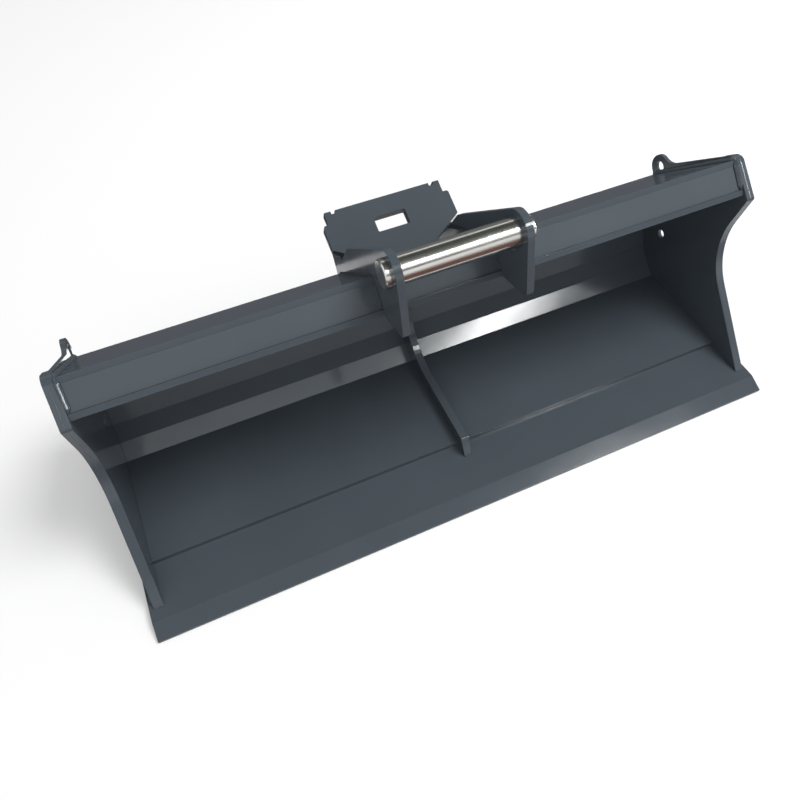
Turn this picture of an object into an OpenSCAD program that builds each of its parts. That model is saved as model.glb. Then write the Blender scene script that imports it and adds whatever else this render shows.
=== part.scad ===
// Grading bucket for an excavator of 5 to 9 tonnes, with a wedge-lock coupler bracket.
// X runs along the cutting edge, Y to the rear and Z up. The outlines are drawn as [y, z] points
// from the cutting edge and the ground, and every piece is then moved to the coupler pin's frame.

/* [Cutting edge] */
// Distance that the cutting edge stands out beside the side plates
blade_over = 10; // [4:1:20]
// Depth of the cutting edge, front to rear
blade_d = 225; // [205:1:300]
// Thickness of the cutting edge
blade_t = 20; // [16:1:30]
// Depth of the bevel on its top face
bevel_d = 37; // [25:1:50]
// Height left at the front of the bevel
nose_h = 6; // [3:0.5:12]

/* [Shell] */
// Width of the bucket over the doublers on its side plates
body_w = 1480; // [1280:10:1980]
// Thickness of the shell
shell_t = 12; // [8:1:16]
// Distance that the shell laps over the cutting edge
lap_d = 67; // [45:1:80]
// Length of the shell's flat floor, up to the first bend
floor_d = 260.5; // [245:0.5:300]
// Length of each bent facet
facet_len = 45; // [43:1:50]
// Slopes of the facets between the floor and the back wall
facet_angles = [33, 48, 64];
// Slope of the back wall
back_angle = 85; // [83:0.5:89]

/* [Torsion tube] */
// Height of the tube's rear corner
rear_z = 286; // [275:1:300]
// Width of the tube's top plate
top_w = 266.5; // [255:0.5:275]
// Thickness of the tube's plates
tube_t = 12; // [8:1:14]
// Width of the tube's front plate
front_w = 54; // [48:1:62]
// Slope of the front plate
front_angle = 43.5; // [40:0.5:48]
// Slope of the top plate, down to the rear
top_angle = 41; // [39:0.5:43]
// Slope of the plate that closes the tube from below
under_angle = 40; // [38:0.5:43]
// Distance that the closing plate stands out under the front plate
lip_out = 5; // [2:0.5:9]
// Thickness of the diaphragms in the tube
diaphragm_t = 12; // [8:1:16]

/* [Side plates] */
// Thickness of the side plates
side_t = 10; // [8:1:14]
// Thickness of the doublers along the side plates' front edges
doubler_t = 10; // [6:1:14]
// Width of the doublers
doubler_w = 60; // [45:1:70]
// Radius of a doubler's upper rear corner
doubler_r = 14; // [8:1:16]
// Distance from the cutting edge to the foot of the side plate's front edge
foot_y = 62; // [45:1:80]
// Distance from the lip back to the corner that the front edge's long curve rounds
waist_back = 17; // [10:1:24]
// Distance from the lip down to that corner
waist_down = 169; // [160:1:180]
// Radius of the front edge's long curve
waist_r = 175; // [140:1:185]
// Slope of the front edge above the curve
tip_angle = 101; // [98:0.5:105]
// Width of the rim over the front plate's lower edge
rim_front = 9.5; // [6:0.5:12]
// Slope of the rim in front of the front plate
rim_front_angle = 39; // [38:0.5:43]
// Width of the rim over the top plate's front edge
rim_top = 9; // [7:0.5:12]
// Slope of the rim over the top plate, down to the rear
rim_top_angle = 39; // [38:0.5:41]
// Width of the rim that stands out behind the shell
rim_back = 8; // [4:0.5:14]
// Radius of the top corner
corner_r = 23; // [12:1:24]
// Radius of the front tip
tip_r = 8; // [4:1:12]
// Diameter of the hole through the side plate
side_hole_d = 22; // [16:1:28]
// Distance from the first bend back to that hole
side_hole_back = 25; // [10:1:35]
// Distance from the floor up to that hole
side_hole_up = 128; // [115:1:140]

/* [Lifting eyes] */
// Outer radius of a lifting eye
eye_r = 29; // [26:1:34]
// Diameter of its hole
eye_hole_d = 28; // [22:1:32]
// Distance from the tube's rear corner forward to the middle of the eye
eye_fore = 6; // [1:0.5:8]
// Distance from the tube's rear corner up to the middle of the eye
eye_up = 25; // [23:0.5:30]
// Radius that blends the eye into the top edge
eye_blend_r = 40; // [20:1:50]
// Radius that blends the eye into the rear edge
eye_heel_r = 14; // [8:1:20]

/* [Centre rib] */
// Thickness of the rib
rib_t = 18; // [12:1:24]
// Distance from the cutting edge to the rib's nose
rib_y = 121; // [105:1:140]
// Distance over which the nose rises
rib_rise = 25; // [15:1:35]
// Height of the rib over the cutting edge
rib_h = 42; // [34:1:55]
// Width of the rib on the back wall
rib_w = 45; // [35:1:60]
// Radius of the rib's inner curve
rib_r = 135; // [100:1:140]
// Radius of the nose
rib_nose_r = 7; // [4:1:12]

/* [Wear strips] */
// Width of a wear strip
strip_w = 80; // [60:1:110]
// Distance from a doubler's outer face to the middle of the outer strips
strip_in = 150; // [100:1:220]
// Length of the bevel at a strip's rear end
strip_bevel = 16; // [8:1:20]

/* [Coupler ears] */
// Distance between the ears
ear_gap = 240; // [230:1:260]
// Thickness of an ear
ear_t = 15; // [12:1:20]
// Distance from the tube's top corner forward to the coupler pin
pin_fore = 77; // [72:1:82]
// Distance from the tube's top corner up to the coupler pin
pin_up = 78; // [72:1:86]
// Radius of the ear round the pin
ear_nose_r = 41; // [37:1:48]
// Slope of the ear's top edge, down to the rear
ear_top_angle = 40; // [38:0.5:42]
// Distance from the lip forward to the toe of the front leg
toe_fore = 88; // [80:1:94]
// Distance from the lip up to the toe
toe_up = 24; // [16:1:30]
// Radius of the toe
toe_r = 12; // [8:1:14]
// Length of the rear leg's seat on the back wall
heel_down = 72; // [50:1:85]
// Distance from the tube's rear corner back to the rear leg's outer corner
elbow_back = 58; // [48:1:62]
// Distance from the tube's rear corner up to that corner
elbow_up = 30; // [15:1:40]
// Radius of that corner
elbow_r = 40; // [20:1:60]

/* [Coupler pin] */
// Diameter of the coupler pin
pin_d = 55; // [45:1:60]
// Length of the pin outside each ear
pin_stub = 13; // [12:1:24]
// Width of the bevel at each end of the pin
pin_bevel = 2.5; // [1:0.5:4]
// Radial clearance of the pin in the ears
pin_clear = 0.05; // [0.02:0.01:0.1]

/* [Pin keeper] */
// Thickness of the keeper bar
keeper_t = 8; // [6:0.5:10]
// Length of the keeper bar
keeper_len = 80; // [70:1:90]
// Width of the keeper bar
keeper_w = 25; // [22:1:28]
// Depth to which the bar enters its slot in the pin
keeper_in = 6; // [4:0.5:8]
// Direction of the keeper from the pin, below the horizontal
keeper_angle = 50; // [44:1:56]
// Distance between the keeper's screws
screw_pitch = 52; // [46:1:56]
// Diameter of the screws
screw_d = 12; // [10:1:14]
// Width of a screw head across its flats
screw_head_w = 19; // [17:1:22]
// Height of a screw head
screw_head_h = 7.5; // [6:0.5:9]

/* [Lock plate] */
// Thickness of the lock plate
lock_t = 20; // [15:1:25]
// Slope of the lock plate, up to the rear
lock_angle = 24; // [22:0.5:26]
// Distance from the tube's rear corner back to the plate's rear end
lock_back = 71; // [67:1:76]
// Distance from the tube's rear corner up to the plate's rear end
lock_up = 116; // [110:1:122]
// Width of the plate over its horns
horn_w = 274; // [268:1:284]
// Width of a horn
horn = 15; // [10:1:20]
// Width of the relief beside a horn
relief_w = 10; // [6:1:14]
// Depth of that relief
relief_d = 7; // [4:1:10]
// Width of the plate below its shoulders
shoulder_w = 299; // [290:1:306]
// Distance from the rear end to the shoulders
shoulder_u = 29; // [24:1:34]
// Radius of the shoulders
shoulder_r = 6; // [3:1:10]
// Distance from the rear end to the corners at its widest
wide_u = 87; // [84:1:90]
// Distance from the rear end to the tongue
tongue_u = 128; // [124:1:132]
// Width of the tongue that reaches the tube
tongue_w = 170; // [160:1:184]
// Width of the wedge window
window_w = 75; // [65:1:85]
// Height of the wedge window
window_h = 35; // [30:1:40]
// Distance from the rear end to the window
window_u = 42; // [38:1:46]
// Radius in the window's corners
window_r = 3; // [1:0.5:6]
// Distance along the lock plate from its rear end to the ears' cut
ear_cut_u = 109; // [107:1:114]
// Slope of the ears' cut, down to the rear
ear_cut_angle = 59; // [54:1:64]
// Distance that the plate stands out behind the ears and gussets
lock_over = 10; // [4:1:20]
// Thickness of the gussets under the plate
gusset_t = 12; // [8:1:16]
// Distance between the middles of the gussets
gusset_pitch = 136; // [124:1:150]
// Length of the gussets' seat on the back wall
gusset_down = 46; // [30:1:60]

/* [Hidden] */
$fn = 96;
// Overrun of every cut
cut = 1;
// Pieces in each rounded corner and in each long curve
steps = 8;
long_steps = 20;
paint = [0.27, 0.31, 0.34];
bare = [0.75, 0.75, 0.74];

// A step of length 1 in the direction a
function unit(a) = [cos(a), sin(a)];
// The crossing of a line through p at angle a with a line through q at angle b
function meet(p, a, q, b) =
    let (d = q - p, k = cos(a) * sin(b) - sin(a) * cos(b))
    p + unit(a) * (d[0] * sin(b) - d[1] * cos(b)) / k;
// The direction from p to q
function heading(p, q) = atan2(q[1] - p[1], q[0] - p[0]);
// An angle brought into the half turn on either side of zero
function short(a) = a - 360 * round(a / 360);
// Points on the short arc round c, from p to q
function arc(c, p, q, n) =
    let (r = norm(p - c), a = heading(c, p), da = short(heading(c, q) - a))
    [for (i = [0 : n]) c + r * unit(a + da * i / n)];
// The corner q between p and s, rounded to radius r
function rounded(p, q, s, r, n = steps) =
    let (a = heading(q, p), b = heading(q, s), h = short(b - a) / 2)
    let (t = r / tan(abs(h)), c = q + unit(a + h) * r / sin(abs(h)))
    arc(c, q + t * unit(a), q + t * unit(b), n);
// The middle of a radius f that blends a line through p at angle a into a circle. The radius lies
// on the line's left if side is 1, and on its right if side is -1. end is 1 for the far crossing.
function blend(p, a, side, c, r, f, end) =
    let (q = p + side * f * unit(a + 90), w = q - c, k = w * unit(a))
    q + unit(a) * (end * sqrt(k * k - w * w + (r + f) * (r + f)) - k);

// The shell's inner face: floor, three facets and the back wall
blade_w = body_w + 2 * blade_over;
seam_y = blade_d - lap_d;
floor_z = blade_t + shell_t;
bend_1 = [seam_y + floor_d, floor_z];
bend_2 = bend_1 + facet_len * unit(facet_angles[0]);
bend_3 = bend_2 + facet_len * unit(facet_angles[1]);
bend_4 = bend_3 + facet_len * unit(facet_angles[2]);
slopes = [0, facet_angles[0], facet_angles[1], facet_angles[2], back_angle];
bends = [bend_1, bend_2, bend_3, bend_4];
// The bend i moved out by the distance d, square to both of its facets
function moved_bend(i, d) =
    meet(bends[i] + d * unit(slopes[i] - 90), slopes[i], bends[i] + d * unit(slopes[i + 1] - 90),
        slopes[i + 1]);
outer_4 = moved_bend(3, shell_t);

// The torsion tube's corners: its top plate runs on over the front plate and the back wall
rear = meet([0, rear_z], 0, outer_4, back_angle);
top = rear - top_w * unit(-top_angle);
under_top = top - tube_t * unit(90 - top_angle);
chin = under_top - front_w * unit(front_angle);
chin_in = meet(under_top + tube_t * unit(front_angle - 90), front_angle, chin, -under_angle);
brow_in = meet(chin_in, front_angle, under_top, -top_angle);
rear_under = meet(under_top, -top_angle, outer_4, back_angle);
rear_in = meet(under_top, -top_angle, bend_4, back_angle);
lip = chin - lip_out * unit(-under_angle);
lip_under = lip - tube_t * unit(90 - under_angle);
wall = meet(chin, -under_angle, bend_4, back_angle);
wall_under = meet(lip_under, -under_angle, bend_4, back_angle);

// The side plate's front edge: foot, waist, tip and top corner
foot = [foot_y, blade_t];
waist = lip_under + [waist_back, -waist_down];
front_rim = chin + rim_front * unit(front_angle + 90);
top_rim = top + rim_top * unit(90 - top_angle);
tip = meet(waist, tip_angle, front_rim, rim_front_angle);
corner = meet(front_rim, rim_front_angle, top_rim, -rim_top_angle);
front_edge = concat([foot], rounded(foot, waist, tip, waist_r, long_steps),
    rounded(waist, tip, corner, tip_r));

lock_end = rear + [lock_back, lock_up];
// A place on the lock plate: u down from its rear end, and d above its top face
function on_lock(u, d) =
    lock_end + u * unit(180 + lock_angle) + d * unit(90 + lock_angle);
pin = top + [-pin_fore, pin_up];
ear_x = ear_gap / 2;
inside_w = body_w - 2 * (side_t + doubler_t);
pin_end = ear_x + ear_t + pin_stub;

// Moves the pieces from the cutting edge and the ground to the coupler pin
module at_pin() {
    translate([0, -pin[0], -pin[1]]) children();
}

// A plate with the given [y, z] outline, t thick and centred on x
module plate(x, t) {
    translate([x - t / 2, 0, 0]) rotate([90, 0, 90]) linear_extrude(t) children();
}

// A round hole along X, centred on x and through a plate t thick
module hole(x, t, p, d) {
    translate([x, p[0], p[1]]) rotate([0, 90, 0]) cylinder(h = t + 2 * cut, d = d, center = true);
}

module cutting_edge() {
    color(paint) at_pin() plate(0, blade_w)
        polygon([[0, 0], [blade_d, 0], [blade_d, blade_t], [bevel_d, blade_t], [0, nose_h]]);
}

module shell() {
    inner = [[seam_y, floor_z], bend_1, bend_2, bend_3, bend_4, rear_in];
    outer = [for (i = [3 : -1 : 0]) moved_bend(i, shell_t)];
    color(paint) at_pin() plate(0, inside_w)
        polygon(concat(inner, [rear_under], outer, [[seam_y, blade_t]]));
}

// Outline of a side plate: front edge, rim over the tube, lifting eye and rim behind the shell
module side_outline() {
    eye = rear + [-eye_fore, eye_up];
    back = [for (i = [0 : 3]) moved_bend(i, shell_t + rim_back)];
    heel = meet(foot, 0, back[1], slopes[1]);
    top_blend = blend(top_rim, -rim_top_angle, 1, eye, eye_r, eye_blend_r, -1);
    top_start = top_blend - eye_blend_r * unit(90 - rim_top_angle);
    top_end = eye + eye_r * unit(heading(eye, top_blend));
    heel_blend = blend(back[3], back_angle, -1, eye, eye_r, eye_heel_r, -1);
    heel_start = eye + eye_r * unit(heading(eye, heel_blend));
    heel_end = heel_blend - eye_heel_r * unit(back_angle - 90);
    crown = eye + eye_r * unit(heading(top_end, heel_start) + 90);
    polygon(concat(front_edge,
        rounded(tip, corner, top_start, corner_r),
        arc(top_blend, top_start, top_end, steps),
        arc(eye, top_end, crown, steps),
        arc(eye, crown, heel_start, steps),
        arc(heel_blend, heel_start, heel_end, steps),
        [back[3], back[2], back[1], heel]));
}

module side_plate(side) {
    x = side * (inside_w + side_t) / 2;
    color(paint) at_pin() difference() {
        plate(x, side_t) side_outline();
        hole(x, side_t, rear + [-eye_fore, eye_up], eye_hole_d);
        hole(x, side_t, bend_1 + [side_hole_back, side_hole_up], side_hole_d);
    }
}

// A strip on the outside of a side plate, along its front edge and round its top corner
module side_doubler(side) {
    rise = heading(foot, waist);
    low = foot + doubler_w * unit(rise - 90);
    waist_in = meet(low, rise, waist + doubler_w * unit(tip_angle - 90), tip_angle);
    front_in = tip + doubler_w * unit(rim_front_angle - 90);
    tip_in = meet(waist_in, tip_angle, front_in, rim_front_angle);
    corner_in = meet(front_in, rim_front_angle, corner, -rim_top_angle);
    foot_in = meet(low, rise, foot, 0);
    color(paint) at_pin() plate(side * (body_w - doubler_t) / 2, doubler_t)
        polygon(concat(front_edge,
            rounded(tip, corner, corner_in, corner_r),
            rounded(corner, corner_in, tip_in, doubler_r),
            rounded(corner_in, tip_in, waist_in, corner_r),
            rounded(tip_in, waist_in, foot_in, waist_r, long_steps),
            [foot_in]));
}

module tube_front_plate() {
    color(paint) at_pin() plate(0, inside_w)
        polygon([chin, under_top, brow_in, chin_in]);
}

module tube_top_plate() {
    color(paint) at_pin() plate(0, inside_w)
        polygon([top, rear, rear_under, under_top]);
}

module tube_closing_plate() {
    color(paint) at_pin() plate(0, inside_w)
        polygon([lip, wall, wall_under, lip_under]);
}

// A plate inside the tube, in line with an ear
module tube_diaphragm(side) {
    color(paint) at_pin() plate(side * (ear_x + ear_t / 2), diaphragm_t)
        polygon([chin_in, brow_in, rear_in, wall]);
}

// The rib stands on the cutting edge, the floor and the back wall, up to the closing plate
module centre_rib() {
    base = [[rib_y, blade_t], [seam_y, blade_t], [seam_y, floor_z], bend_1, bend_2, bend_3, bend_4];
    brow = [rib_y + rib_rise, blade_t + rib_h];
    inner = bend_4 + rib_w * unit(back_angle + 90);
    inner_top = meet(inner, back_angle, lip_under, -under_angle);
    turn = meet(brow, 0, inner, back_angle);
    color(paint) at_pin() plate(0, rib_t)
        polygon(concat(base, [wall_under, inner_top],
            rounded(inner_top, turn, brow, rib_r, long_steps),
            rounded(turn, brow, base[0], rib_nose_r)));
}

// A strip under the floor, level with the cutting edge's underside
module wear_strip(side) {
    heel = moved_bend(0, shell_t);
    color(paint) at_pin() plate(side * (body_w / 2 - strip_in), strip_w)
        polygon([[blade_d, 0], [heel[0] - strip_bevel, 0], heel, [blade_d, blade_t]]);
}

// Outline of an ear: nose round the pin, front leg that runs smoothly into it, seat on the tube,
// rear leg and lock plate seat
module ear_outline() {
    toe = lip_under + [-toe_fore, toe_up];
    leg_angle = heading(toe, pin) + asin(ear_nose_r / norm(pin - toe));
    leg_top = pin + ear_nose_r * unit(leg_angle + 90);
    nose_top = pin + ear_nose_r * unit(90 - ear_top_angle);
    heel = rear - heel_down * unit(back_angle);
    elbow = rear + [elbow_back, elbow_up];
    seat = on_lock(lock_over, -lock_t);
    cut_low = on_lock(ear_cut_u, 0);
    cut_top = meet(cut_low, -ear_cut_angle, nose_top, -ear_top_angle);
    polygon(concat(
        arc(pin, nose_top, leg_top, 2 * steps),
        rounded(leg_top, toe, lip_under, toe_r),
        [lip_under, lip, chin, under_top, top, rear, heel],
        rounded(heel, elbow, seat, elbow_r),
        [seat, on_lock(ear_cut_u, -lock_t), cut_low, cut_top]));
}

module keeper_frame() {
    translate([ear_x + ear_t, pin[0], pin[1]]) rotate([-keeper_angle, 0, 0]) rotate([90, 0, 90])
        children();
}

// Places for the two keeper screws, in the keeper's own frame
module at_screws() {
    r = pin_d / 2 - keeper_in + keeper_w / 2;
    for (s = [-1, 1]) translate([r, s * screw_pitch / 2, 0]) children();
}

module coupler_ear(side) {
    x = side * (ear_x + ear_t / 2);
    color(paint) at_pin() difference() {
        plate(x, ear_t) ear_outline();
        hole(x, ear_t, pin, pin_d + 2 * pin_clear);
        if (side > 0) keeper_frame() at_screws()
            translate([0, 0, -ear_t - cut]) cylinder(h = ear_t + 2 * cut, d = screw_d + 2 * pin_clear);
    }
}

module coupler_pin() {
    color(bare) at_pin() difference() {
        translate([-pin_end, pin[0], pin[1]]) rotate([0, 90, 0]) rotate_extrude()
            polygon([[0, 0], [pin_d / 2 - pin_bevel, 0], [pin_d / 2, pin_bevel],
                [pin_d / 2, 2 * pin_end - pin_bevel], [pin_d / 2 - pin_bevel, 2 * pin_end],
                [0, 2 * pin_end]]);
        keeper_frame() translate([pin_d / 2 - keeper_in, -pin_d / 2, -pin_clear])
            cube([pin_d, pin_d, keeper_t + 2 * pin_clear]);
    }
}

// A bar that is screwed to the right ear and stands in a slot of the pin
module pin_keeper() {
    color(paint) at_pin() keeper_frame() difference() {
        translate([pin_d / 2 - keeper_in + pin_clear, -keeper_len / 2, 0])
            cube([keeper_w - pin_clear, keeper_len, keeper_t]);
        at_screws() translate([0, 0, -cut])
            cylinder(h = keeper_t + 2 * cut, d = screw_d + 2 * pin_clear);
    }
}

module keeper_screws() {
    color(bare) at_pin() keeper_frame() at_screws() {
        translate([0, 0, -ear_t]) cylinder(h = ear_t + keeper_t, d = screw_d);
        translate([0, 0, keeper_t])
            cylinder(h = screw_head_h, d = screw_head_w / cos(30), $fn = 6);
    }
}

// Outline of the lock plate, as [x, -u] points: horns, shoulders, widest corners and tongue
module lock_outline(reach) {
    horn_x = horn_w / 2;
    wide_x = shoulder_w / 2;
    shoulder = [wide_x, -shoulder_u];
    half = concat(
        [[horn_x - horn - relief_w, 0], [horn_x - horn - relief_w, -relief_d],
            [horn_x - horn, -relief_d], [horn_x - horn, 0], [horn_x, 0], [horn_x, -shoulder_u]],
        rounded([horn_x, -shoulder_u], shoulder, [wide_x, -wide_u], shoulder_r),
        [[wide_x, -wide_u], [tongue_w / 2, -tongue_u], [tongue_w / 2, -reach]]);
    far = [for (i = [len(half) - 1 : -1 : 0]) [-half[i][0], half[i][1]]];
    polygon(concat(half, far));
}

// The wedge window, with rounded corners
module window_outline() {
    x = window_w / 2;
    c = [[-x, -window_u], [x, -window_u], [x, -window_u - window_h], [-x, -window_u - window_h]];
    polygon([for (i = [0 : 3]) each rounded(c[(i + 3) % 4], c[i], c[(i + 1) % 4], window_r)]);
}

module lock_plate() {
    reach = norm(meet(lock_end, lock_angle, top, -top_angle) - lock_end) + lock_t;
    color(paint) at_pin() difference() {
        translate([0, lock_end[0], lock_end[1]]) rotate([lock_angle, 0, 0]) difference() {
            translate([0, 0, -lock_t]) linear_extrude(lock_t) lock_outline(reach);
            translate([0, 0, -lock_t - cut]) linear_extrude(lock_t + 2 * cut) window_outline();
        }
        translate([-body_w / 2, top[0], top[1]]) rotate([-top_angle, 0, 0])
            translate([0, 0, -reach]) cube([body_w, 2 * reach, reach]);
    }
}

// A gusset between the lock plate, the tube and the back wall
module lock_gusset(side) {
    color(paint) at_pin() plate(side * gusset_pitch / 2, gusset_t)
        polygon([on_lock(lock_over, -lock_t), meet(on_lock(0, -lock_t), lock_angle, top, -top_angle),
            rear, rear - gusset_down * unit(back_angle)]);
}

cutting_edge();
shell();
side_plate(-1);  // side_plate_left
side_plate(1);  // side_plate_right
side_doubler(-1);  // side_doubler_left
side_doubler(1);  // side_doubler_right
tube_front_plate();
tube_top_plate();
tube_closing_plate();
tube_diaphragm(-1);  // tube_diaphragm_left
tube_diaphragm(1);  // tube_diaphragm_right
centre_rib();
wear_strip(-1);  // wear_strip_left
wear_strip(0);  // wear_strip_centre
wear_strip(1);  // wear_strip_right
coupler_ear(-1);  // coupler_ear_left
coupler_ear(1);  // coupler_ear_right
coupler_pin();
pin_keeper();
keeper_screws();
lock_plate();
lock_gusset(-1);  // lock_gusset_left
lock_gusset(1);  // lock_gusset_right
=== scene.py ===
"""Looks of the excavator grading bucket: paint, bright pin, weld beads, studio and camera."""
import math

import bmesh
import bpy
from mathutils import Euler, Matrix, Vector


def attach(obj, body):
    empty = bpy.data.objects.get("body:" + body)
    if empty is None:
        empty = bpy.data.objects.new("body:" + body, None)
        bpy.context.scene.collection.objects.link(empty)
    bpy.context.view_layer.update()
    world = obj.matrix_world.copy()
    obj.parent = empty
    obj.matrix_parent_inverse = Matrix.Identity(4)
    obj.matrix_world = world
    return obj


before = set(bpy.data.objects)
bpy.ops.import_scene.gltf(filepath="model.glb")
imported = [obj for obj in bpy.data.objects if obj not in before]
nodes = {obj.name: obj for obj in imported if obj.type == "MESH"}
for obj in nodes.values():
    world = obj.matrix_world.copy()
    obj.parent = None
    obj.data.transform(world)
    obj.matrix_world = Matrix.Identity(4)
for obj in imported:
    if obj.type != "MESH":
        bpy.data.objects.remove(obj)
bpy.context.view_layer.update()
scene = bpy.context.scene

# Sizes of the bucket in metres, as in the CAD source, in a [y, z] view from the cutting edge
BODY_W, SIDE_T, DOUBLER_T, SHELL_T, TUBE_T = 1.480, 0.010, 0.010, 0.012, 0.012
BLADE_D, BLADE_T, FLOOR_Y = 0.225, 0.020, 0.4185
FACET, SLOPES = 0.045, (0, 33, 48, 64, 85)
REAR_Z, TOP_W, FRONT_W, LIP_OUT = 0.286, 0.2665, 0.054, 0.005
TOP_ANGLE, FRONT_ANGLE, UNDER_ANGLE = 41, 43.5, 40
EAR_IN, EAR_OUT = 0.120, 0.135
PIN_FORE, PIN_UP = 0.077, 0.078
STRIPS, STRIP_W, STRIP_END = (-0.590, 0.0, 0.590), 0.080, 0.406
DOUBLER_FOOT = (0.075, 0.146)   # the doubler's foot on the cutting edge
SEAM_GAP = 0.012            # where the shell's weld to the cutting edge is passed
EAR_LEG = 0.070             # length of the ears' weld down the back wall


def unit(a):
    return Vector((math.cos(math.radians(a)), math.sin(math.radians(a))))


def meet(p, a, q, b):
    """The crossing of a line through p at angle a with a line through q at angle b."""
    u, v, d = unit(a), unit(b), q - p
    return p + u * ((d.x * v.y - d.y * v.x) / (u.x * v.y - u.y * v.x))


# The shell's inner corners, then its outer ones, and the corners of the torsion tube
inner = [Vector((FLOOR_Y, BLADE_T + SHELL_T))]
for slope in SLOPES[1:4]:
    inner.append(inner[-1] + FACET * unit(slope))
outer = [meet(p + SHELL_T * unit(SLOPES[i] - 90), SLOPES[i],
              p + SHELL_T * unit(SLOPES[i + 1] - 90), SLOPES[i + 1]) for i, p in enumerate(inner)]
rear = meet(Vector((0, REAR_Z)), 0, outer[3], SLOPES[4])
top = rear - TOP_W * unit(-TOP_ANGLE)
under_top = top - TUBE_T * unit(90 - TOP_ANGLE)
chin = under_top - FRONT_W * unit(FRONT_ANGLE)
lip = chin - LIP_OUT * unit(-UNDER_ANGLE)
lip_under = lip - TUBE_T * unit(90 - UNDER_ANGLE)
wall_under = meet(lip_under, -UNDER_ANGLE, inner[3], SLOPES[4])
pin = top + Vector((-PIN_FORE, PIN_UP))


def place(x, p):
    """A place in the model's frame, whose origin is the coupler pin's middle."""
    return Vector((x, p.x - pin.x, p.y - pin.y))


# ---------------------------------------------------------------------------
# Camera
# ---------------------------------------------------------------------------
cam = bpy.data.objects.new("camera", bpy.data.cameras.new("camera"))
scene.collection.objects.link(cam)
# The photo solved as a pinhole camera: degrees down, degrees to the right and a slight roll
DOWN, RIGHT, ROLL = 55.404, 23.596, -0.469
cam.location = (-0.4565, -0.7862, 0.8428)
look = Euler((math.radians(90 - DOWN), 0, math.radians(-RIGHT))).to_matrix()
cam.rotation_euler = (look @ Matrix.Rotation(math.radians(ROLL), 3, "Z")).to_euler()
cam.data.sensor_width = 36
cam.data.lens = 30.555
cam.data.clip_start = 0.02
scene.camera = cam
scene.view_settings.view_transform = "Standard"


# ---------------------------------------------------------------------------
# Materials
# ---------------------------------------------------------------------------
class Nodes:
    """Short calls for a node tree."""

    def __init__(self, tree):
        self.tree = tree
        tree.nodes.clear()

    def add(self, kind, **values):
        n = self.tree.nodes.new(kind)
        for k, v in values.items():
            if hasattr(n, k):
                setattr(n, k, v)
        return n

    def link(self, a, b):
        self.tree.links.new(a, b)

    def noise(self, where, scale, detail=2.0, rough=0.5, stretch=(1, 1, 1)):
        m = self.add("ShaderNodeMapping")
        m.inputs["Scale"].default_value = stretch
        self.link(where, m.inputs["Vector"])
        n = self.add("ShaderNodeTexNoise")
        n.inputs["Scale"].default_value = scale
        n.inputs["Detail"].default_value = detail
        n.inputs["Roughness"].default_value = rough
        self.link(m.outputs[0], n.inputs["Vector"])
        return n.outputs["Fac"]

    def span(self, value, a, b, c, d):
        """Value from a to b becomes c to d, held at both ends."""
        n = self.add("ShaderNodeMapRange")
        n.clamp = True
        for i, v in enumerate((a, b, c, d)):
            n.inputs[1 + i].default_value = v
        self.link(value, n.inputs[0])
        return n.outputs[0]

    def math(self, op, a, b=None):
        n = self.add("ShaderNodeMath", operation=op)
        for i, v in enumerate((a, b)):
            if v is None:
                continue
            if isinstance(v, (int, float)):
                n.inputs[i].default_value = v
            else:
                self.link(v, n.inputs[i])
        return n.outputs[0]

    def mix(self, fac, a, b):
        n = self.add("ShaderNodeMix", data_type="RGBA")
        self.link(fac, n.inputs[0])
        for socket, v in ((n.inputs[6], a), (n.inputs[7], b)):
            if isinstance(v, tuple):
                socket.default_value = (*v, 1)
            else:
                self.link(v, socket)
        return n.outputs[2]

    def bump(self, height, distance, strength, normal=None):
        n = self.add("ShaderNodeBump")
        n.inputs["Strength"].default_value = strength
        n.inputs["Distance"].default_value = distance
        self.link(height, n.inputs["Height"])
        if normal is not None:
            self.link(normal, n.inputs["Normal"])
        return n.outputs[0]

    def edge(self, radius):
        """The normal rounded over a small radius, and how far it turns from the true one."""
        b = self.add("ShaderNodeBevel", samples=6)
        b.inputs["Radius"].default_value = radius
        g = self.add("ShaderNodeNewGeometry")
        d = self.add("ShaderNodeVectorMath", operation="DOT_PRODUCT")
        self.link(b.outputs[0], d.inputs[0])
        self.link(g.outputs["True Normal"], d.inputs[1])
        return b.outputs[0], self.math("SUBTRACT", 1.0, d.outputs["Value"])


def material(name):
    m = bpy.data.materials.new(name)
    m.use_nodes = True
    k = Nodes(m.node_tree)
    bsdf = k.add("ShaderNodeBsdfPrincipled")
    out = k.add("ShaderNodeOutputMaterial")
    k.link(bsdf.outputs[0], out.inputs[0])
    where = k.add("ShaderNodeTexCoord").outputs["Object"]
    return m, k, bsdf, where


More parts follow.
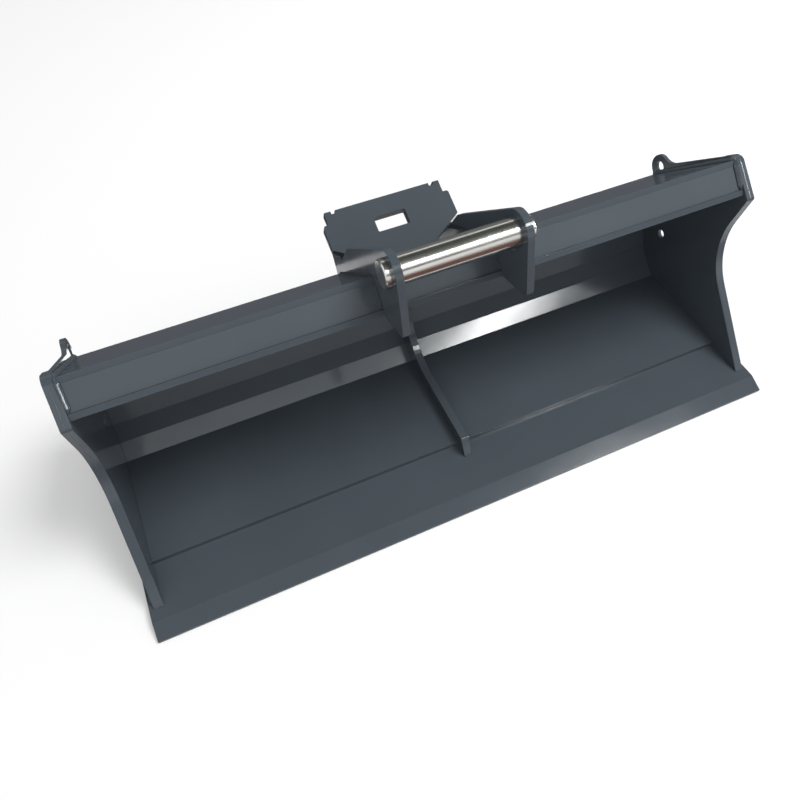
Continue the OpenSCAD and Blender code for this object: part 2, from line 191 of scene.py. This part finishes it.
def paint(name, tone, rough=0.13, edge_radius=0.0014, wear=0.3):
    """Satin powder coat: faint mottling, orange peel, and thinner, brighter paint on the edges."""
    m, k, bsdf, where = material(name)
    dark = tuple(0.93 * c for c in tone)
    light = tuple(1.07 * c for c in tone)
    mottle = k.span(k.noise(where, 5, 3), 0.3, 0.7, 0, 1)
    grain = k.span(k.noise(where, 520, 2), 0.25, 0.75, 0, 1)
    colour = k.mix(k.math("ADD", k.math("MULTIPLY", mottle, 0.7), k.math("MULTIPLY", grain, 0.3)),
                   dark, light)
    soft, turn = k.edge(edge_radius)
    broken = k.span(k.noise(where, 60, 4, 0.7), 0.35, 0.75, 0.2, 1)
    worn = k.math("MULTIPLY", k.span(turn, 0.02, 0.25, 0, wear), broken)
    colour = k.mix(worn, colour, tuple(1.5 * c for c in tone))
    k.link(colour, bsdf.inputs["Base Color"])
    handled = k.span(k.noise(where, 14, 4, 0.6, (0.6, 1, 1)), 0.35, 0.7,
                     rough - 0.025, rough + 0.03)
    k.link(k.math("SUBTRACT", handled, k.math("MULTIPLY", worn, 0.06)), bsdf.inputs["Roughness"])
    bsdf.inputs["Specular IOR Level"].default_value = 0.3
    peel = k.bump(k.noise(where, 700, 1.5), 0.0002, 0.10, soft)
    k.link(k.bump(k.noise(where, 9, 1), 0.0012, 0.10, peel), bsdf.inputs["Normal"])
    return m


def chrome(name, tone):
    """Ground and polished pin steel: fine rings round the pin and a faint film."""
    m, k, bsdf, where = material(name)
    rings = k.noise(where, 1400, 2, 0.6, (1, 0.02, 0.02))
    film = k.span(k.noise(where, 30, 4, 0.6, (0.5, 1, 1)), 0.4, 0.75, 0, 1)
    soft = k.edge(0.0008)[0]
    colour = k.mix(k.math("MULTIPLY", film, 0.35), tone, tuple(0.80 * c for c in tone))
    k.link(colour, bsdf.inputs["Base Color"])
    bsdf.inputs["Metallic"].default_value = 1
    k.link(k.math("ADD", k.span(rings, 0.3, 0.7, 0.15, 0.20), k.math("MULTIPLY", film, 0.08)),
           bsdf.inputs["Roughness"])
    k.link(k.bump(rings, 0.00003, 0.06, soft), bsdf.inputs["Normal"])
    return m


def zinc(name, tone):
    """Zinc plating: small crystals of slightly different tone, dull in the hollows."""
    m, k, bsdf, where = material(name)
    v = k.add("ShaderNodeTexVoronoi")
    v.inputs["Scale"].default_value = 900
    k.link(where, v.inputs["Vector"])
    crystals = k.span(v.outputs["Distance"], 0, 0.8, 0, 1)
    cloud = k.span(k.noise(where, 180, 3), 0.35, 0.65, 0, 1)
    soft, turn = k.edge(0.0006)
    colour = k.mix(k.math("MULTIPLY", cloud, crystals), tone, tuple(0.7 * c for c in tone))
    k.link(k.mix(k.span(turn, 0.02, 0.3, 0, 0.6), colour, (0.85, 0.85, 0.86)),
           bsdf.inputs["Base Color"])
    bsdf.inputs["Metallic"].default_value = 1
    k.link(k.span(cloud, 0, 1, 0.28, 0.42), bsdf.inputs["Roughness"])
    k.link(k.bump(crystals, 0.00005, 0.3, soft), bsdf.inputs["Normal"])
    return m


SLATE = (0.055, 0.067, 0.079)
coat = paint("paint_slate", SLATE)
coat_beads = paint("paint_beads", tuple(0.75 * c for c in SLATE), rough=0.45, edge_radius=0.0006)
pin_steel = chrome("pin_chrome", (0.70, 0.69, 0.66))
plated = zinc("screw_zinc", (0.60, 0.61, 0.62))
FINISH = {"coupler_pin": pin_steel, "keeper_screws": plated}
for node_name, obj in nodes.items():
    finish = FINISH.get(node_name, coat)
    for s in obj.material_slots:
        s.material = finish


# ---------------------------------------------------------------------------
# Weld beads
# ---------------------------------------------------------------------------
RIPPLE = 0.0032             # from one ripple to the next
STEP = 0.0016               # from one ring of vertices to the next
ARC = 6                     # faces across the bead


def bead(bm, a, b, u, v, size, crown, ripple):
    """A rippled fillet from a to b in the corner between the directions u and v."""
    length = (b - a).length
    along = (b - a) / length
    count = max(2, round(length / STEP))
    ring = None
    for i in range(count + 1):
        s = length * i / count
        taper = min(1.0, 0.45 + 0.55 * min(s, length - s) / (1.2 * size))
        root = a + along * s
        wave = 0.5 + 0.5 * math.cos(2 * math.pi * s / RIPPLE)
        drift = 1 + 0.05 * math.sin(41 * s + 7 * a.x) + 0.03 * math.sin(173 * s + 3 * a.y)
        r = size * taper * drift
        points = [root]
        for j in range(ARC + 1):
            t = j / ARC
            bulge = math.sin(math.pi * t)
            p = root + r * ((1 - t) * u + t * v)
            p += (u + v).normalized() * r * bulge * (crown + ripple * wave)
            points.append(p - along * 0.0016 * bulge)
        new = [bm.verts.new(p) for p in points]
        if ring:
            for j in range(len(new)):
                k = (j + 1) % len(new)
                f = bm.faces.new((ring[j], ring[k], new[k], new[j]))
                f.smooth = 0 < j < len(new) - 1
        else:
            bm.faces.new(list(reversed(new)))
        ring = new
    bm.faces.new(ring)


def welds(name, runs, size, crown=0.30, ripple=0.07, finish=coat_beads):
    """One object from several runs, each (x0, p0, x1, p1, u, v)."""
    bm = bmesh.new()
    for x0, p0, x1, p1, u, v in runs:
        bead(bm, place(x0, p0), place(x1, p1), Vector(u), Vector(v), size, crown, ripple)
    bmesh.ops.recalc_face_normals(bm, faces=bm.faces[:])
    mesh = bpy.data.meshes.new(name)
    bm.to_mesh(mesh)
    bm.free()
    mesh.materials.append(finish)
    obj = bpy.data.objects.new(name, mesh)
    scene.collection.objects.link(obj)
    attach(obj, "root")
    return obj


def yz(a):
    d = unit(a)
    return (0.0, d.x, d.y)


half = BODY_W / 2
plate_out = half - DOUBLER_T
in_side = plate_out - SIDE_T
up_top, out_wall = yz(90 - TOP_ANGLE), yz(SLOPES[4] - 90)
down_wall = yz(SLOPES[4] + 180)

# Ears on the tube and the back wall
runs = []
for side in (-1, 1):
    for x, d in ((EAR_OUT, side), (EAR_IN, -side)):
        runs.append((side * x, top, side * x, rear, (d, 0, 0), up_top))
        runs.append((side * x, rear, side * x, rear + EAR_LEG * unit(SLOPES[4] + 180), (d, 0, 0),
                     out_wall))
        runs.append((side * x, chin, side * x, under_top, (d, 0, 0), yz(FRONT_ANGLE + 90)))
welds("weld_ears", runs, 0.0035)

# The tube's ends on the side plates
runs = []
for side in (-1, 1):
    for a, b, v in ((top, rear, up_top), (chin, top, yz(FRONT_ANGLE + 90))):
        runs.append((side * in_side, a, side * in_side, b, (-side, 0, 0), v))
welds("weld_tube_ends", runs, 0.008, crown=0.10, ripple=0.0, finish=coat)

# Side plates' rims against the back of the shell, and their feet on the cutting edge
runs = []
for side in (-1, 1):
    corners = [Vector((BLADE_D + SEAM_GAP, BLADE_T))] + outer + [rear]
    for i in range(len(corners) - 1):
        runs.append((side * in_side, corners[i], side * in_side, corners[i + 1], (-side, 0, 0),
                     yz(SLOPES[i] - 90)))
    for x, a, b in ((half, *DOUBLER_FOOT), (plate_out, 0.150, BLADE_D)):
        runs.append((side * x, Vector((a, BLADE_T)), side * x, Vector((b, BLADE_T)),
                     (side, 0, 0), (0, 0, 1)))
welds("weld_side_plates", runs, 0.005)

# Rear of the cutting edge under the shell, and the closing plate on the back wall
behind_blade = Vector((BLADE_D, BLADE_T))
welds("weld_cutting_edge", [(-in_side, behind_blade, in_side, behind_blade, (0, 1, 0),
                             (0, 0, -1))], 0.007)
welds("weld_tube", [(-in_side, wall_under, in_side, wall_under, down_wall,
                     yz(180 - UNDER_ANGLE))], 0.005)

# Wear strips under the floor
runs = []
for x in STRIPS:
    for d in (-1, 1):
        e = x + d * STRIP_W / 2
        runs.append((e, Vector((BLADE_D + SEAM_GAP, BLADE_T)), e,
                     Vector((STRIP_END - 0.004, BLADE_T)), (d, 0, 0), (0, 0, -1)))
welds("weld_wear_strips", runs, 0.005)


# ---------------------------------------------------------------------------
# Floor, light and background
# ---------------------------------------------------------------------------
GROUND = place(0, Vector((0, 0))).z
WHITE = 1.0                 # the background as it is seen
FLOOR_TONE, FLOOR_GLOW = 0.69, 0.12


def light_path(k):
    """1 for the rays that show the background: camera, glossy and transmission rays."""
    p = k.add("ShaderNodeLightPath")
    both = k.math("MAXIMUM", p.outputs["Is Camera Ray"], p.outputs["Is Glossy Ray"])
    return k.math("MAXIMUM", both, p.outputs["Is Transmission Ray"])


def dome_strength(k, low, high, towards):
    """A soft dome: low all round, rising to high where it faces."""
    where = k.add("ShaderNodeTexCoord").outputs["Generated"]
    d = k.add("ShaderNodeVectorMath", operation="DOT_PRODUCT")
    k.link(where, d.inputs[0])
    d.inputs[1].default_value = Vector(towards).normalized()
    return k.span(d.outputs["Value"], 0, 1, low, high)


world = bpy.data.worlds.new("studio")
scene.world = world
world.use_nodes = True
k = Nodes(world.node_tree)
dome = dome_strength(k, 0.50, 1.10, (0.05, -0.62, 0.78))
blend = k.add("ShaderNodeMix", data_type="FLOAT")
k.link(light_path(k), blend.inputs[0])
k.link(dome, blend.inputs[2])
blend.inputs[3].default_value = WHITE
background = k.add("ShaderNodeBackground")
background.inputs["Color"].default_value = (1, 1, 1, 1)
k.link(blend.outputs[0], background.inputs["Strength"])
k.link(background.outputs[0], k.add("ShaderNodeOutputWorld").inputs[0])

floor_mesh = bpy.data.meshes.new("floor")
bm = bmesh.new()
bmesh.ops.create_grid(bm, x_segments=1, y_segments=1, size=40)
bm.to_mesh(floor_mesh)
bm.free()
floor = bpy.data.objects.new("floor", floor_mesh)
floor.location = (0, 0, GROUND - 0.0002)
scene.collection.objects.link(floor)
floor_mat = bpy.data.materials.new("floor")
floor_mat.use_nodes = True
k = Nodes(floor_mat.node_tree)
diffuse = k.add("ShaderNodeBsdfDiffuse")
diffuse.inputs["Color"].default_value = (FLOOR_TONE,) * 3 + (1,)
glow = k.add("ShaderNodeEmission")
k.link(k.math("MULTIPLY", light_path(k), FLOOR_GLOW), glow.inputs["Strength"])
both = k.add("ShaderNodeAddShader")
k.link(diffuse.outputs[0], both.inputs[0])
k.link(glow.outputs[0], both.inputs[1])
k.link(both.outputs[0], k.add("ShaderNodeOutputMaterial").inputs[0])
floor_mesh.materials.append(floor_mat)


def card(name, corners, colour):
    """A card of the studio that only reflections show: it lights and shades nothing."""
    mesh = bpy.data.meshes.new(name)
    mesh.from_pydata(corners, [], [tuple(range(len(corners)))])
    m = bpy.data.materials.new(name)
    m.use_nodes = True
    k = Nodes(m.node_tree)
    e = k.add("ShaderNodeEmission")
    e.inputs["Color"].default_value = (*colour, 1)
    k.link(e.outputs[0], k.add("ShaderNodeOutputMaterial").inputs[0])
    mesh.materials.append(m)
    obj = bpy.data.objects.new(name, mesh)
    scene.collection.objects.link(obj)
    obj.visible_camera = obj.visible_diffuse = obj.visible_shadow = False


def arch(name, a, b, colour, far=5.0, left=-6, right=12):
    """A card that spans the angles a to b round the coupler pin, from the rear over the top."""
    p, q = far * unit(a), far * unit(b)
    card(name, [(left, p.x, p.y), (right, p.x, p.y), (right, q.x, q.y), (left, q.x, q.y)], colour)


# They give the pin its bands, and keep the white out of the tube and the cutting edge's bevel
arch("card_rear", -6, 33, (0.16, 0.17, 0.16))
arch("card_over_rear", 44, 78, (0.055, 0.06, 0.05))
arch("card_over_front", 78, 117.5, (0.10, 0.105, 0.095))
arch("card_facet", 117.5, 124, (2.6, 2.8, 2.9), 14.0)
arch("card_slot", 145, 159, (0.12, 0.12, 0.12))

# Low ones: behind the bucket for the tube and the left eye, and before it for the pin
for name, x0, x1, y0, y1, z, colour in (
        ("card_behind", -6, 6, 0.585, 6, -0.535, (0.10, 0.105, 0.12)),
        ("card_left_eye", -1.0, -0.5, 0.40, 0.58, -0.530, (3.0, 3.0, 3.0)),
        ("card_low", -1.5, 3.5, -1.5, -0.32, -0.50, (0.16, 0.085, 0.07)),
        ("card_low_front", -1.5, 5.0, -4.0, -1.5, -0.50, (0.42, 0.37, 0.36))):
    card(name, [(x0, y0, z), (x1, y0, z), (x1, y1, z), (x0, y1, z)], colour)

# A bright one far to the right, for the glints on rounded edges and beads
card("card_right", [(6, -2.5, -0.3), (6, 1, -0.3), (6, 1, 2), (6, -2.5, 2)], (22, 23, 24))


def softbox(name, at, aim, size, power):
    data = bpy.data.lights.new(name, "AREA")
    data.shape = "RECTANGLE"
    data.size, data.size_y = size
    data.energy = power
    obj = bpy.data.objects.new(name, data)
    obj.location = at
    obj.rotation_euler = (Vector(at) - Vector(aim)).to_track_quat("Z", "Y").to_euler()
    scene.collection.objects.link(obj)
    return obj


# Front softbox: seen by the gloss of the paint alone, it puts the glare on the first facet
front = softbox("front_softbox", (4.6, -4.82, 8.24), (0, 0.2, -0.3), (4.0, 0.8), 560)
front.visible_diffuse = front.visible_camera = False

# Top softbox: lights the paint from the upper right and lays the shadow to the left
over = softbox("top_softbox", (2.1, -0.5, 4.4), (0, 0, -0.4), (2.2, 2.2), 200)
over.visible_glossy = over.visible_camera = False
